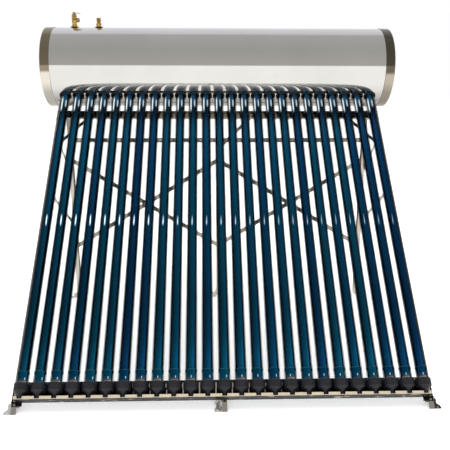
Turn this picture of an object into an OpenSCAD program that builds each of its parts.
// Free-standing solar water heater: a horizontal insulated storage tank fed by
// a row of evacuated heat-pipe tubes that slope down from it, all carried on a
// folded stainless steel stand. Millimetres, +Z up. The origin is on the ground
// under the middle of the whole object; the tank axis runs along X and the
// tubes slope down towards -Y, the front.

/* [Collector tubes] */
// Number of evacuated tubes
tube_count = 25; // [15:1:30]
// Distance between neighbouring tube axes
tube_pitch = 75; // [73:1:80]
// Outside diameter of each glass tube
tube_d = 58; // [56:1:58]
// Length of each glass tube from its mouth to its closed tip
tube_len = 1800; // [1500:50:2000]
// Slope of the tubes above the ground, in degrees
tilt = 45; // [43:1:47]
// Depth of the tube mouth inside the tank casing
tube_insert = 52; // [51:1:53]

/* [Tank] */
// Outside diameter of the tank casing
shell_d = 460; // [450:5:480]
// Tank overhang past the last tube axis at each end, end cap included
tank_overhang = 125; // [120:5:150]
// Thickness of the foam between casing and inner tank
foam_t = 56; // [55:1:58]
// Width of the end cap band over the casing
band_w = 55; // [45:1:56]

/* [Top fittings] */
// Relief valve position, in from the end of the tank
relief_in = 168; // [150:1:180]
// Hot outlet position, in from the end of the tank
outlet_in = 312; // [300:1:330]
// Angle of the cold inlet below horizontal, on the rear of the tank
inlet_ang = 35; // [30:1:45]

/* [Stand] */
// Width of the leg channel along the tank
leg_w = 25; // [25:1:28]
// Depth of the leg channel
leg_h = 40; // [40:1:44]
// Sheet thickness of the stand members
sheet_t = 1.5; // [1.5:0.1:1.8]
// Height of the tail rail above the ground
tail_gap = 40; // [36:1:46]
// Distance of the rear legs behind the tank axis
rear_y = 48; // [44:1:54]
// Width of the flat braces
brace_w = 28; // [24:1:30]

/* [Feet] */
// Length of a foot plate
foot_l = 92; // [90:1:100]
// Width of a foot plate
foot_w = 33; // [30:1:36]
// Distance between the two anchor holes of a foot
foot_pitch = 71; // [68:1:74]
// Anchor hole diameter
foot_hole = 9; // [7:0.5:10]

/* [Hidden] */
$fn = 48;

// Name endings: _r radius, _t thickness, _s distance down the slope from the
// tank axis, _o depth behind the tube plane. Stand places in y and z are
// measured from the tank axis.
fit = 0.1; // gap under bolt heads and beside closely fitted sheets
lap = 0.2; // gap between lapped flat parts

// Tank
shell_r = shell_d / 2;
shell_t = 1.5;
inner_r = shell_r - foam_t;
cap_r = shell_r + 1.8;
half_bank = (tube_count - 1) * tube_pitch / 2;
half_len = half_bank + tank_overhang;
barrel_x = half_bank + 25; // rim of each inner head
dome_r = 410; // spherical radius of the inner heads
dome_x = barrel_x - sqrt(dome_r * dome_r - inner_r * inner_r);
anode_hole_r = 13.6;

// Ports, each as [x, angle about the tank axis from straight up]
relief_port = [-(half_len - relief_in), 0];
outlet_port = [-(half_len - outlet_in), 0];
inlet_port = [(relief_port[0] + outlet_port[0]) / 2, -90 - inlet_ang];
socket_r = 17;
thread_r = 13.1;
nipple_end_r = 13.2;
nipple_h = 55; // reach of a nipple beyond the casing
pin_h = 83.5; // lever pin above the casing
pin_r = 1.5;

// Tubes
tube_r = tube_d / 2;
glass_t = 1.6;
absorber_r = tube_r - 5.5;
sleeve_r = 13.5;
ring_hole_r = tube_r + 2.8; // room for the neck of a dust ring
mouth_s = shell_r - tube_insert;
tail_s = mouth_s + tube_len;
fin_s = [mouth_s + 27, tail_s - 108];
cup_s = tail_s - 43;
cup_r = 34.5;

// Tail rail and front crossbar
rail_s0 = cup_s - 20;
rail_s1 = cup_s + 71;
rail_lip = 14;
rail_o = 45;
rail_front = 15; // reach of the rail in front of the tube plane
cross_s = 316;
cross_w = 54;
cross_d = 14;
cross_face_o = rail_o + 0.4; // front face of the crossbar web

// Legs, listed as left, centre, right
leg_o = 47;
leg_mid_o = leg_o + leg_h / 2;
leg_s0 = shell_r + 34;
outer_leg_x = half_bank + 35;
leg_x = [-outer_leg_x, 0, outer_leg_x];
web_side = [-1, -1, 1]; // side of each leg that carries its web
frame_x = outer_leg_x + leg_w / 2; // half width over the legs
rear_face = rear_y + leg_h / 2;
ground_gap = 3;

// Place of the tank axis; y centres the whole object on the origin
tank_z = rail_s1 * sin(tilt) + (rail_o + sheet_t) * cos(tilt) + tail_gap;
y_front = -(tank_z - ground_gap) / tan(tilt) + leg_o / sin(tilt);
rear_end = max(cap_r, (shell_r + nipple_h) * cos(inlet_ang) + nipple_end_r * sin(inlet_ang));
tank_y = -(y_front + rear_end) / 2;

// Cradles and braces
cradle_t = 3;
cradle_s = [cross_s + 2, cross_s + 34]; // bolts in the front legs
cradle_z = [-(shell_r + 44), -(shell_r + 74)]; // bolts in the rear legs
brace_t = 1.5;
tie_z = -450;
tie_h = 28;
tie_d = 14;
rear_brace_z = [-577.5, -1150]; // top and bottom bolts
side_brace_s = [450, 838]; // front bolts, upper and lower
side_brace_z = [-642, -987]; // rear bolts, upper and lower
knee_s = 574; // lower bolts of the knee braces
knee_top_s = cross_s + 24;
knee_dx = 185;
knee_top_x = [knee_dx - outer_leg_x, knee_dx + 12, outer_leg_x - knee_dx];

// Fasteners and feet
bolt_r = 3;
pivot_r = 4;
pivot_z = 26; // above the ground
foot_t = 2.5;
lug_r = 18;
front_pivot_y = y_front + (pivot_z - ground_gap) / tan(tilt) + leg_h / 2 / sin(tilt);

// Colours used by several nodes
cap_grey = [0.55, 0.53, 0.49];
tank_steel = [0.75, 0.75, 0.76];
brace_steel = [0.76, 0.76, 0.76];
brass = [0.85, 0.66, 0.22];

function tube_x(i) = -half_bank + i * tube_pitch;
// x of a point a given distance from the leg's middle, away from its web
function off_web(leg, distance) = leg_x[leg] - web_side[leg] * distance;
function web_x(leg) = off_web(leg, -leg_w / 2);
// [y, z] from the tank axis of a point on the slope
function slope_yz(down, behind) =
  [-down * cos(tilt) + behind * sin(tilt), -down * sin(tilt) - behind * cos(tilt)];

// ---------- frames and basic shapes ----------
module tank() translate([0, tank_y, tank_z]) children();
// local x = X, local y = towards the sun, local z = down the slope
module slope() tank() rotate([90 + tilt, 0, 0]) children();
module each_tube() slope() for (i = [0 : tube_count - 1]) translate([tube_x(i), 0, 0]) children();
// local z points outwards from the casing surface
module port(place) tank() translate([place[0], 0, 0]) rotate([place[1], 0, 0])
  translate([0, 0, shell_r]) children();
module each_port() for (place = [relief_port, outlet_port, inlet_port]) port(place) children();
// extrudes a [y, z] outline from x0 to x1
module along_x(x0, x1) translate([x0, 0, 0]) rotate([90, 0, 90])
  linear_extrude(height = x1 - x0) children();
module xcyl(radius, x0, x1) translate([x0, 0, 0]) rotate([0, 90, 0])
  cylinder(r = radius, h = x1 - x0, $fn = 96);
module zcyl(radius, z0, z1) translate([0, 0, z0]) cylinder(r = radius, h = z1 - z0);

// ---------- fasteners ----------
// bolt along +z: head below 0, nut from grip upwards
module bolt(grip, radius = bolt_r) {
  hex_r = 1.95 * radius;
  nut_h = 1.6 * radius;
  zcyl(hex_r, -1.35 * radius, 0, $fn = 6);
  zcyl(radius, 0, grip + nut_h + 2);
  zcyl(hex_r, grip, grip + nut_h, $fn = 6);
}
module shank(radius) zcyl(radius, -6, 18);
module bolt_or_hole(hole, grip) {
  if (hole) shank(bolt_r + 0.2);
  else bolt(grip);
}
// Bolt frames; stack is the thickness of parts between leg and bolt head.
// Through the leg web, from outside it
module at_web(leg, place, stack = 0) tank()
  translate([web_x(leg) + web_side[leg] * (fit + stack), place[0], place[1]])
    rotate([0, -web_side[leg] * 90, 0]) children();
// square to the slope, from the front, with the head on a face at the given depth
module at_slope(x, down, depth) slope() translate([x, fit - depth, down])
  rotate([90, 0, 0]) children();
// through the rear face of a rear leg, from behind
module at_rear(leg, z, stack) tank() translate([leg_x[leg], rear_face + stack + fit, z])
  rotate([90, 0, 0]) children();
module at_pivot(leg, y)
  translate([web_x(leg) + web_side[leg] * (foot_t + 0.3), tank_y + y, pivot_z])
    rotate([0, -web_side[leg] * 90, 0]) children();

// Each set below makes bolts, or the holes for them
module cradle_bolts(leg, hole = false) {
  places = concat([for (s = cradle_s) slope_yz(s, leg_mid_o)], [for (z = cradle_z) [rear_y, z]]);
  for (place = places) at_web(leg, place) bolt_or_hole(hole, sheet_t + cradle_t + 0.6);
}
// outer legs only
module side_bolts(leg, hole = false) if (leg != 1) for (k = [0, 1])
  for (place = [slope_yz(side_brace_s[k], leg_mid_o), [rear_y, side_brace_z[k]]])
    at_web(leg, place, brace_t + fit) bolt_or_hole(hole, sheet_t + brace_t + 0.4);
module cross_bolts(leg, hole = false) for (s = [cross_s + 10, cross_s + 43])
  at_slope(off_web(leg, 3), s, cross_face_o) bolt_or_hole(hole, 2 * sheet_t + 0.5);
module rail_bolts(leg, hole = false) for (s = [rail_s0 + 20, rail_s0 + 70])
  at_slope(off_web(leg, 1), s, rail_o) bolt_or_hole(hole, 2 * sheet_t + 0.8);
// outer legs only
module bracket_bolts(leg, hole = false) if (leg != 1)
  at_slope(off_web(leg, 1), rail_s1 + 9.5, rail_o - lap) bolt_or_hole(hole, 2 * sheet_t + 1);
module knee_bolts(leg, hole = false) {
  at_slope(off_web(leg, 1), knee_s, leg_o) bolt_or_hole(hole, sheet_t + brace_t + 0.5);
  at_slope(knee_top_x[leg], knee_top_s, cross_face_o) bolt_or_hole(hole, sheet_t + brace_t + 2.1);
}
module tie_bolts(leg, hole = false)
  at_rear(leg, tie_z, sheet_t + lap) bolt_or_hole(hole, 2 * sheet_t + 0.5);
module rear_brace_bolts(leg, hole = false) for (z = rear_brace_z)
  at_rear(leg, z, 2 * (brace_t + lap)) bolt_or_hole(hole, sheet_t + 2 * brace_t + 0.7);

// ---------- tank ----------
module outer_shell() color([0.8, 0.8, 0.8]) difference() {
  tank() difference() {
    xcyl(shell_r, -half_len + 15, half_len - 15);
    xcyl(shell_r - shell_t, -half_len + 14, half_len - 14);
  }
  each_tube() zcyl(ring_hole_r, shell_r - 40, shell_r + 20);
  each_port() zcyl(socket_r + 0.3, -20, 20);
}

// Spun cap: band over the casing, rounded shoulder, stamped centre pocket.
// [radius, distance outwards from the end of the tank], outside then inside
cap_profile = [
  [cap_r, -band_w], [cap_r, -6], [cap_r - 1.8, -2], [cap_r - 6, 0], [168, 0], [160, -3],
  [48, -3], [42, -13], [0, -13],
  [0, -15], [43.5, -15], [49.5, -5], [160.6, -5], [168.4, -2], [cap_r - 6.6, -2],
  [cap_r - 1.5, -7], [cap_r - 1.5, -band_w]];
module end_cap(dir) tank() translate([dir * half_len, 0, 0]) rotate([0, dir * 90, 0])
  rotate_extrude($fn = 96) polygon(cap_profile);
module left_end_cap() color(cap_grey) end_cap(-1);
module right_end_cap() color(cap_grey) difference() {
  end_cap(1);
  tank() xcyl(anode_hole_r, half_len - 20, half_len);
}

// Dished head as [radius, x], from crown to rim, or rim to crown if reversed
function dish(radius, reversed = false, steps = 8) = [for (k = [0 : steps])
  let (a = asin(inner_r / dome_r) * (reversed ? steps - k : k) / steps)
  [radius * sin(a), dome_x + radius * cos(a)]];

module insulation_foam() color([0.93, 0.88, 0.6]) difference() {
  tank() xcyl(shell_r - shell_t - 0.25, -half_len + 17, half_len - 17);
  // room for the inner tank, heads included
  tank() rotate([0, 90, 0]) rotate_extrude($fn = 96) polygon(concat(dish(dome_r + 0.3),
    [[inner_r + 0.25, barrel_x - 1], [inner_r + 0.25, 1 - barrel_x]],
    [for (p = dish(dome_r + 0.3, true)) [p[0], -p[1]]]));
  each_tube() zcyl(tube_r + 0.6, inner_r - 10, shell_r + 20);
  each_tube() zcyl(ring_hole_r, shell_r - 7.5, shell_r + 12.5);
  each_port() zcyl(socket_r + 0.3, -foam_t - 10, 20);
  tank() xcyl(anode_hole_r, barrel_x, half_len);
}
module inner_tank_barrel() color(tank_steel) difference() {
  tank() difference() {
    xcyl(inner_r, -barrel_x + 2.1, barrel_x - 2.1);
    xcyl(inner_r - 2, -barrel_x, barrel_x);
  }
  each_tube() zcyl(sleeve_r + 0.1, inner_r - 30, inner_r + 10);
  each_port() zcyl(socket_r + 0.2, -foam_t - 20, -foam_t + 30);
}
module inner_tank_heads() color(tank_steel) tank() for (m = [0, 1]) mirror([m, 0, 0])
  difference() {
    rotate([0, 90, 0]) rotate_extrude($fn = 96)
      polygon(concat(dish(dome_r), dish(dome_r - 2, true)));
    // anode hole, in the right head only
    if (m == 0) xcyl(13.2, barrel_x, barrel_x + 60);
  }
module port_sockets() color([0.7, 0.7, 0.7]) each_port() difference() {
  zcyl(socket_r, -foam_t - 6, -4);
  zcyl(thread_r + 0.2, -foam_t - 7, -3);
}
module port_gaskets() color([0.06, 0.06, 0.06]) each_port() difference() {
  zcyl(24, 0.2, 5.2);
  zcyl(thread_r + 0.3, 0, 12);
}
module anode_rod() color([0.6, 0.6, 0.58]) tank() xcyl(10.5, half_len - 560, half_len - 71);
module anode_plug() color([0.78, 0.6, 0.25]) tank() {
  xcyl(13, half_len - 70.8, half_len - 12.5);
  translate([half_len - 12.8, 0, 0]) rotate([0, 90, 0]) cylinder(r = 18, h = 9, $fn = 6);
}

// ---------- top fittings ----------
module thread() zcyl(thread_r, -36, 6);
module nipple(place) color(brass) port(place) difference() {
  union() {
    thread();
    zcyl(17, 5.4, 24, $fn = 6);
    zcyl(11.5, 24, 36);
    zcyl(nipple_end_r, 36, nipple_h);
  }
  zcyl(9.5, -40, 60);
}
module outlet_nipple() nipple(outlet_port);
module inlet_nipple() nipple(inlet_port);

module relief_body() color(brass) port(relief_port) {
  side_z = 42; // axis of the side outlet, which points to +X
  difference() {
    union() {
      thread();
      zcyl(18.4, 5.4, 15.4, $fn = 6);
      zcyl(15.5, 15, 62);
      translate([0, 0, side_z]) rotate([0, 90, 0]) cylinder(r = 13.5, h = 30);
    }
    // stepped bore: passage, seat and spring chamber
    zcyl(8, -40, 30);
    zcyl(6, 20, 40);
    zcyl(11.5, 33, 73);
    // side outlet and its counterbore
    translate([0, 0, side_z]) rotate([0, 90, 0]) cylinder(r = 6.5, h = 40);
    translate([16, 0, side_z]) rotate([0, 90, 0]) cylinder(r = 9, h = 20);
  }
}
module relief_bonnet() color([0.8, 0.6, 0.2]) port(relief_port) difference() {
  union() {
    zcyl(17, 62.1, 70.1, $fn = 6);
    zcyl(12.5, 70, 78.4);
  }
  zcyl(2.46, 60, 90);
}
// cylinder along y, centred on the origin
module cross_pin(radius, length) translate([0, length / 2, 0]) rotate([90, 0, 0])
  cylinder(r = radius, h = length);
module relief_stem() color([0.82, 0.7, 0.4]) port(relief_port) difference() {
  union() {
    zcyl(8, 33.1, 37.1);
    zcyl(2.4, 36, 79.5);
    translate([-3, -2.4, 79]) cube([6, 4.8, 7.5]);
  }
  translate([0, 0, pin_h]) cross_pin(pin_r + 0.02, 10);
}
module relief_lever_pin() color([0.7, 0.7, 0.7]) port(relief_port)
  translate([0, 0, pin_h]) cross_pin(pin_r, 13);
// two cheeks astride the stem, joined by a round-ended handle towards +X
module relief_lever() color([0.12, 0.12, 0.13]) port(relief_port) translate([0, 0, pin_h]) {
  cheek_t = 3;
  cam_x = -6.6; // small lobe behind the pin
  handle = [28, 10.6, 2.5];
  difference() {
    union() {
      for (y = [5.6, -2.6]) translate([0, y, 0]) rotate([90, 0, 0]) {
        cylinder(r = 4.8, h = cheek_t, $fn = 12);
        translate([cam_x, 0, 0]) cylinder(r = 2.8, h = cheek_t, $fn = 12);
        translate([cam_x, -2.4, 0]) cube([-cam_x, 4.8, cheek_t]);
        translate([0, -1.9, 0]) cube([9, 3.8, cheek_t]);
      }
      translate([5, 0, 1.2]) rotate([0, 5, 0]) {
        translate([0, -handle[1] / 2, -handle[2]]) cube(handle);
        translate([handle[0], 0, -handle[2]]) cylinder(r = 5, h = handle[2], $fn = 12);
      }
    }
    cross_pin(pin_r + 0.06, 20);
  }
}
module relief_probe() color([0.7, 0.6, 0.4]) port(relief_port) {
  tip_z = -190;
  difference() {
    union() {
      zcyl(12.9, -41.2, -36.2);
      zcyl(4, tip_z, tip_z + 150);
      translate([0, 0, tip_z]) sphere(r = 4);
    }
    // four holes through the collar
    for (a = [45 : 90 : 315]) rotate([0, 0, a]) translate([8.2, 0, -45])
      cylinder(r = 2.4, h = 12);
  }
}
// round wire swept along a helix
module relief_spring() color([0.6, 0.6, 0.62]) port(relief_port) {
  coil_r = 8;
  wire_r = 1;
  bottom = 38.3;
  top = 60.9;
  turn_steps = 20;
  steps = turn_steps * 5; // five turns
  ring = 8; // points around the wire
  points = [for (i = [0 : steps], j = [0 : ring - 1])
    let (turn = 360 * i / turn_steps, b = 360 * j / ring, radius = coil_r + wire_r * cos(b))
    [radius * cos(turn), radius * sin(turn),
      bottom + (top - bottom) * i / steps + wire_r * sin(b)]];
  sides = [for (i = [0 : steps - 1], j = [0 : ring - 1])
    let (k = (j + 1) % ring)
    [i * ring + j, (i + 1) * ring + j, (i + 1) * ring + k, i * ring + k]];
  ends = [[for (j = [0 : ring - 1]) j], [for (j = [ring - 1 : -1 : 0]) steps * ring + j]];
  polyhedron(points = points, faces = concat(sides, ends), convexity = 6);
}

// ---------- collector tubes ----------
module heat_pipe_sleeves() color([0.72, 0.72, 0.73]) each_tube() difference() {
  zcyl(sleeve_r, 90, inner_r + 3);
  zcyl(sleeve_r - 1, 91.2, inner_r + 5);
}

// wide condenser inside the tank, then the long stem; [radius, down the slope]
pipe_profile = [
  [0, 97], [9, 97], [12.2, 100], [12.2, inner_r - 8], [4, inner_r + 2],
  [4, tail_s - 102], [2.5, tail_s - 98], [0, tail_s - 98]];
module heat_pipes() color([0.72, 0.42, 0.25]) each_tube() rotate_extrude() polygon(pipe_profile);

// slotted sheet lining the absorber, with a web to a collar around the heat pipe
module heat_fins() color([0.75, 0.77, 0.8]) each_tube() union() {
  difference() {
    zcyl(absorber_r - 2, fin_s[0], fin_s[1]);
    zcyl(absorber_r - 2.6, fin_s[0] - 1, fin_s[1] + 1);
    translate([-3, absorber_r - 8, fin_s[0] - 1]) cube([6, 10, tube_len]);
  }
  difference() {
    union() {
      zcyl(4.9, fin_s[0], fin_s[1]);
      translate([-0.4, -absorber_r + 2.3, fin_s[0]])
        cube([0.8, absorber_r - 7, fin_s[1] - fin_s[0]]);
    }
    zcyl(4.2, fin_s[0] - 1, fin_s[1] + 1);
  }
}
module tube_plugs() color([0.15, 0.15, 0.16]) each_tube() difference() {
  zcyl(absorber_r - 1.8, mouth_s + 3, mouth_s + 24);
  zcyl(4.1, mouth_s, mouth_s + 30);
}
// cylinder with a hemispherical lower end centred at z1
module round_end(radius, z0, z1) {
  zcyl(radius, z0, z1);
  translate([0, 0, z1]) sphere(r = radius);
}
module absorber_tubes() color([0.03, 0.16, 0.3]) each_tube() difference() {
  union() round_end(absorber_r, mouth_s + 0.2, tail_s - 93);
  round_end(absorber_r - glass_t, mouth_s - 1, tail_s - 93);
}
module outer_glass_tubes() color([0.6, 0.75, 0.85, 0.35]) each_tube() difference() {
  union() round_end(tube_r, mouth_s, tail_s - tube_r);
  round_end(tube_r - glass_t, mouth_s + 4, tail_s - tube_r);
  zcyl(absorber_r + 0.1, mouth_s - 1, mouth_s + 5);
}
// ring against the outer glass, four struts, and a cross of bars with a disc
module getter_clips() color([0.7, 0.68, 0.62]) each_tube() translate([0, 0, tail_s]) {
  difference() {
    zcyl(tube_r - 1.9, -96, -88);
    zcyl(tube_r - 2.7, -97, -87);
  }
  for (a = [0, 90]) rotate([0, 0, a]) {
    for (m = [1, -1]) translate([m * (tube_r - 2.8) - 0.6, -2.5, -89]) cube([1.2, 5, 47]);
    translate([-tube_r + 3, -2.5, -43.2]) cube([2 * tube_r - 6, 5, 1.2]);
  }
  zcyl(9, -43.2, -40);
}

// [out from the glass, out from the casing radius]
dust_ring_profile = [
  [0.3, -7], [2.6, -7], [2.6, 0.5], [5.8, 0.5], [6.5, 1.6], [6.2, 4.2], [4, 6.4], [0.3, 7]];
module dust_rings() color([0.05, 0.05, 0.05]) each_tube() rotate_extrude()
  polygon([for (p = dust_ring_profile) [tube_r + p[0], shell_r + p[1]]]);

// cup, cone and stem; [radius, distance below the cup mouth]
cup_profile = [
  [0, 0], [cup_r - 1.2, 0], [cup_r, 1.5], [cup_r, 32], [cup_r - 1.6, 34.5],
  [9.5, 53], [8.5, 55], [8.5, 73], [7.3, 74.2], [0, 74.2]];
module tail_cups() color([0.08, 0.08, 0.09]) each_tube() difference() {
  translate([0, 0, cup_s]) rotate_extrude() polygon(cup_profile);
  round_end(tube_r + 0.4, cup_s - 1, tail_s - tube_r);
}

// ---------- stand ----------
// Channel outline: web at one coordinate, flanges reaching to the lip, between low and high
function channel(web, lip, low, high) = let (inside = web + sign(lip - web) * sheet_t) [
  [web, low], [web, high], [lip, high], [lip, high - sheet_t],
  [inside, high - sheet_t], [inside, low + sheet_t], [lip, low + sheet_t], [lip, low]];
module leg_section(leg, low, high)
  polygon(channel(web_side[leg] * leg_w / 2, -web_side[leg] * leg_w / 2, low, high));

module front_leg(leg) color([0.78, 0.78, 0.78]) difference() {
  slope() translate([leg_x[leg], 0, leg_s0]) linear_extrude(height = 2400)
    leg_section(leg, -leg_o - leg_h, -leg_o);
  // level cut just above the ground
  translate([-2000, -4000, -3000 + ground_gap]) cube([4000, 8000, 3000]);
  cradle_bolts(leg, true);
  cross_bolts(leg, true);
  rail_bolts(leg, true);
  bracket_bolts(leg, true);
  knee_bolts(leg, true);
  side_bolts(leg, true);
  at_pivot(leg, front_pivot_y) shank(pivot_r + 0.1);
}
module rear_leg(leg) color([0.78, 0.78, 0.78]) difference() {
  translate([leg_x[leg], tank_y + rear_y, ground_gap])
    linear_extrude(height = tank_z - shell_r - 33 - ground_gap)
      leg_section(leg, -leg_h / 2, leg_h / 2);
  cradle_bolts(leg, true);
  tie_bolts(leg, true);
  rear_brace_bolts(leg, true);
  side_bolts(leg, true);
  at_pivot(leg, rear_y) shank(pivot_r + 0.1);
}

// extrudes a [y, z] outline into a plate against the inner face of the leg web
module web_plate(leg) {
  x0 = web_x(leg) - web_side[leg] * (sheet_t + fit);
  x1 = x0 - web_side[leg] * cradle_t;
  along_x(min(x0, x1), max(x0, x1)) children();
}
// sector below the tank axis that limits the cradle
module cradle_sector(leg) {
  reach = 600;
  along_x(leg_x[leg] - 23, leg_x[leg] + 23)
    polygon([[0, 0], [-reach * tan(78 - tilt), -reach], [reach * tan(42), -reach]]);
}
// curved seat under the tank with a web plate that bolts inside both legs
module cradle(leg) color([0.74, 0.74, 0.74]) difference() {
  x = leg_x[leg];
  edge = 3; // plate edge in from the leg faces
  tank() {
    intersection() {
      difference() {
        xcyl(shell_r + 0.3 + cradle_t, x - 22, x + 22);
        xcyl(shell_r + 0.3, x - 23, x + 23);
      }
      cradle_sector(leg);
    }
    intersection() {
      difference() {
        web_plate(leg) circle(r = shell_r + 32, $fn = 96);
        xcyl(shell_r + 1.5, x - 40, x + 40);
      }
      cradle_sector(leg);
    }
    web_plate(leg) polygon([
      slope_yz(leg_s0 - 14, leg_o + edge), slope_yz(cradle_s[1] + 13, leg_o + edge),
      slope_yz(cradle_s[1] + 13, leg_o + leg_h - edge),
      slope_yz(leg_s0 - 20, leg_o + leg_h - edge)]);
    web_plate(leg) polygon([
      [rear_y - leg_h / 2 + edge, -shell_r - 12], [rear_face - edge, -shell_r - 2],
      [rear_face - edge, cradle_z[1] - 13], [rear_y - leg_h / 2 + edge, cradle_z[1] - 13]]);
  }
  cradle_bolts(leg, true);
}
module front_crossbar() color([0.72, 0.72, 0.72]) difference() {
  slope() along_x(-frame_x, frame_x)
    polygon(channel(-leg_o + fit, -leg_o + cross_d, cross_s, cross_s + cross_w));
  for (leg = [0 : 2]) {
    cross_bolts(leg, true);
    knee_bolts(leg, true);
  }
}

// [towards the sun, down the slope]: back wall with a short upper flange, and a
// floor that ends in the front lip
rail_profile = [
  [-rail_o - sheet_t, rail_s0], [-rail_o - sheet_t, rail_s1],
  [rail_front, rail_s1], [rail_front, rail_s1 - rail_lip],
  [rail_front - sheet_t, rail_s1 - rail_lip], [rail_front - sheet_t, rail_s1 - sheet_t],
  [-rail_o, rail_s1 - sheet_t], [-rail_o, rail_s0 + sheet_t],
  [-rail_o + 5, rail_s0 + sheet_t], [-rail_o + 5, rail_s0]];
module tail_rail() color([0.8, 0.79, 0.76]) difference() {
  slope() along_x(-frame_x - 2, frame_x + 2) polygon(rail_profile);
  // holes for the cup stems
  each_tube() zcyl(8.8, rail_s1 - 5, rail_s1 + 5);
  // the front lip is notched in front of every cup stem
  each_tube() translate([-11, 12, rail_s1 - rail_lip - 2]) cube([22, 5, rail_lip - 1]);
  // only the back wall runs on over the outer legs
  slope() for (m = [0, 1]) mirror([m, 0, 0])
    translate([outer_leg_x - 9, -rail_o, rail_s0 - 5]) cube([60, 80, rail_s1 - rail_s0 + 20]);
  for (leg = [0 : 2]) rail_bolts(leg, true);
}
// angles below the rail on the outer legs
module rail_brackets() color([0.3, 0.3, 0.3]) for (leg = [0, 2]) difference() {
  width = 46;
  slope() translate([min(web_x(leg), web_x(leg) - web_side[leg] * width),
    -rail_o - sheet_t, rail_s1 + fit]) {
    cube([width, sheet_t + lap, 17]);
    cube([width, 22, sheet_t]);
  }
  bracket_bolts(leg, true);
}

// flat strap with rounded ends and a hole at each of the two given points
module strap(start, end, width) {
  run = end - start;
  span = norm(run);
  translate(start) rotate([0, 0, atan2(run[1], run[0])]) difference() {
    union() {
      translate([0, -width / 2, 0]) cube([span, width, brace_t]);
      cylinder(d = width, h = brace_t);
      translate([span, 0, 0]) cylinder(d = width, h = brace_t);
    }
    for (x = [0, span]) translate([x, 0, -1]) cylinder(r = bolt_r + 0.2, h = 4);
  }
}
module knee_brace(leg) color([0.74, 0.74, 0.74]) slope()
  translate([0, -leg_o - sheet_t - lap, 0]) rotate([90, 0, 0])
    strap([off_web(leg, 1), knee_s], [knee_top_x[leg], knee_top_s], 20);
// angle across the back of the rear legs, flange along its upper edge
module rear_tie() color(brace_steel) difference() {
  y0 = rear_face + lap;
  y1 = rear_face + tie_d;
  top = tie_z + tie_h / 2;
  bottom = tie_z - tie_h / 2;
  tank() along_x(-frame_x, frame_x) polygon([
    [y0, bottom], [y0, top], [y1, top], [y1, top - sheet_t],
    [y0 + sheet_t, top - sheet_t], [y0 + sheet_t, bottom]]);
  for (leg = [0 : 2]) tie_bolts(leg, true);
}
// bay 0 left, 1 right; layer 0 touches the legs, layer 1 lies on it and slopes the other way
module rear_brace(bay, layer) color(brace_steel) tank()
  translate([0, rear_face + (layer + 1) * (brace_t + lap), 0]) rotate([90, 0, 0])
    strap([leg_x[bay], rear_brace_z[layer]], [leg_x[bay + 1], rear_brace_z[1 - layer]], brace_w);
// level 0 upper, 1 lower
module side_brace(leg, level) color(brace_steel) tank()
  translate([web_side[leg] < 0 ? web_x(leg) - fit - brace_t : web_x(leg) + fit, 0, 0])
    rotate([90, 0, 90])
      strap(slope_yz(side_brace_s[level], leg_mid_o), [rear_y, side_brace_z[level]], 25);

// ---------- feet ----------
// waisted base plate with two anchor holes and an upright lug for the pivot bolt
module foot(leg, y) color([0.8, 0.79, 0.77])
  translate([web_x(leg) + web_side[leg] * 0.15, tank_y + y, 0])
    mirror([web_side[leg] < 0 ? 1 : 0, 0, 0]) difference() {
      union() {
        difference() {
          translate([0, -foot_l / 2, 0]) cube([foot_w, foot_l, foot_t]);
          // waist on the outer edge, a scallop at each end of the lug edge
          translate([foot_w + 24, 0, -1]) cylinder(r = 32, h = foot_t + 2);
          for (m = [1, -1]) translate([-3, m * (foot_l / 2 - 8), -1])
            cylinder(r = 7, h = foot_t + 2);
        }
        translate([0, -lug_r, 0]) cube([foot_t, 2 * lug_r, pivot_z]);
        translate([0, 0, pivot_z]) rotate([0, 90, 0]) cylinder(r = lug_r, h = foot_t);
      }
      translate([-1, 0, pivot_z]) rotate([0, 90, 0]) cylinder(r = pivot_r + 0.06, h = foot_t + 2);
      for (m = [1, -1]) translate([foot_w / 2 + 2, m * foot_pitch / 2, -1])
        cylinder(d = foot_hole, h = foot_t + 2);
    }
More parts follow.
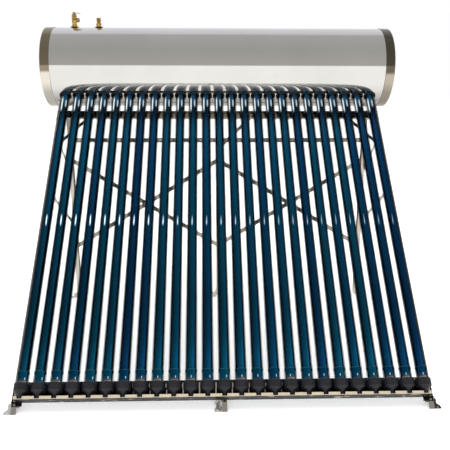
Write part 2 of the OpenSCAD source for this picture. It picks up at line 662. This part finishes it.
module foot_pivot_bolts() color([0.6, 0.6, 0.6])
  for (leg = [0 : 2], y = [front_pivot_y, rear_y])
    at_pivot(leg, y) bolt(foot_t + sheet_t + 0.4, pivot_r);
module frame_bolts() color([0.55, 0.55, 0.55]) for (leg = [0 : 2]) {
  cradle_bolts(leg);
  cross_bolts(leg);
  rail_bolts(leg);
  knee_bolts(leg);
  tie_bolts(leg);
  rear_brace_bolts(leg);
  bracket_bolts(leg);
  side_bolts(leg);
}

outer_shell();
left_end_cap();
right_end_cap();
insulation_foam();
inner_tank_barrel();
inner_tank_heads();
port_sockets();
heat_pipe_sleeves();
heat_pipes();
heat_fins();
tube_plugs();
absorber_tubes();
outer_glass_tubes();
getter_clips();
dust_rings();
tail_cups();
tail_rail();
rail_brackets();
front_crossbar();
front_leg(0);  // front_leg_left
front_leg(1);  // front_leg_centre
front_leg(2);  // front_leg_right
rear_leg(0);  // rear_leg_left
rear_leg(1);  // rear_leg_centre
rear_leg(2);  // rear_leg_right
cradle(0);  // tank_cradle_left
cradle(1);  // tank_cradle_centre
cradle(2);  // tank_cradle_right
knee_brace(0);  // knee_brace_left
knee_brace(1);  // knee_brace_centre
knee_brace(2);  // knee_brace_right
rear_tie();
rear_brace(0, 0);  // rear_brace_left_a
rear_brace(0, 1);  // rear_brace_left_b
rear_brace(1, 0);  // rear_brace_right_a
rear_brace(1, 1);  // rear_brace_right_b
side_brace(0, 0);  // side_brace_left_upper
side_brace(0, 1);  // side_brace_left_lower
side_brace(2, 0);  // side_brace_right_upper
side_brace(2, 1);  // side_brace_right_lower
foot(0, front_pivot_y);  // foot_front_left
foot(1, front_pivot_y);  // foot_front_centre
foot(2, front_pivot_y);  // foot_front_right
foot(0, rear_y);  // foot_rear_left
foot(1, rear_y);  // foot_rear_centre
foot(2, rear_y);  // foot_rear_right
foot_pivot_bolts();
frame_bolts();
relief_body();
relief_bonnet();
relief_spring();
relief_stem();
relief_lever();
relief_lever_pin();
relief_probe();
port_gaskets();
outlet_nipple();
inlet_nipple();
anode_rod();
anode_plug();
